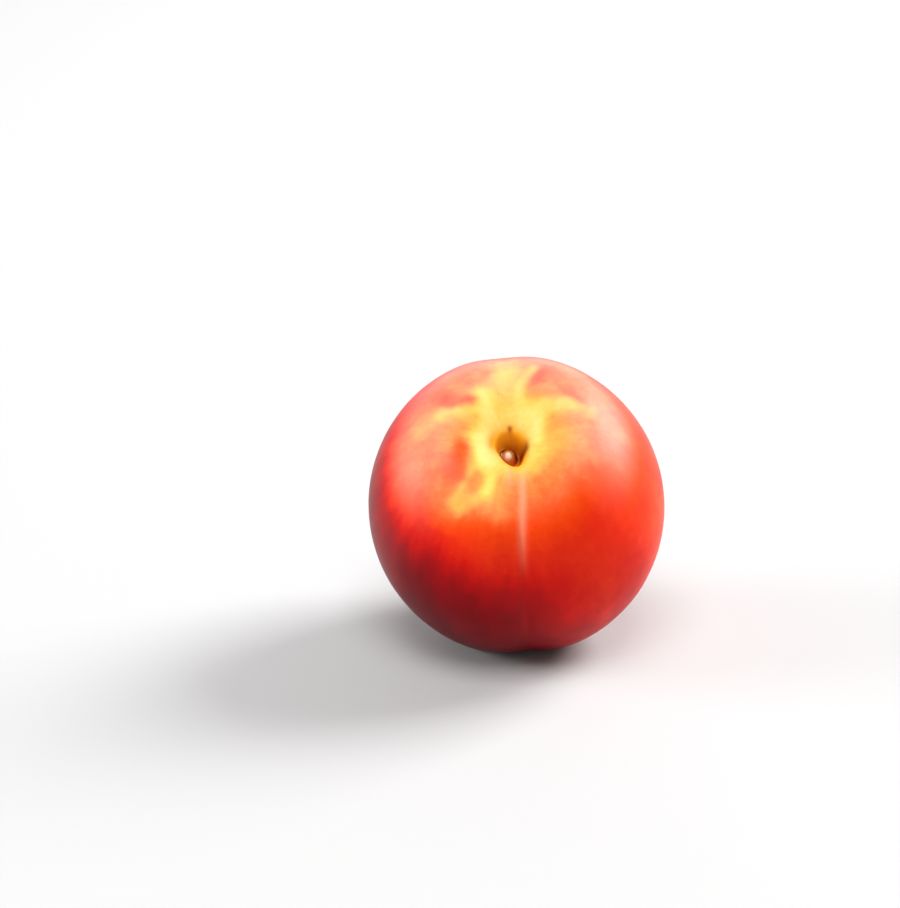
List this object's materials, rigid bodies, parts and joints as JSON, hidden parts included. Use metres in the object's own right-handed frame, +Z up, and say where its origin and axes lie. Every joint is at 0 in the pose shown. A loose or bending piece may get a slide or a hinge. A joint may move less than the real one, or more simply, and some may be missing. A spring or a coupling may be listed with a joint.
{
  "type": "nectarine",
  "caption": "Whole round stone fruit with smooth blushed skin, its stalk hollow tipped towards the front, a crease down the front and a small flat spot to rest on.",
  "frame": {"origin": "middle of the fruit's outline seen from above, on the surface that it rests on", "axes": "+Z up from the surface; -Y the front, where the stalk hollow and the suture face; +X to the right of the suture as seen from the front"},
  "size_m": [0.0696, 0.0694, 0.0671],
  "materials": {
    "skin": "gloss"
  },
  "bodies": {
    "root": {"nectarine": "skin"}
  },
  "joints": []
}
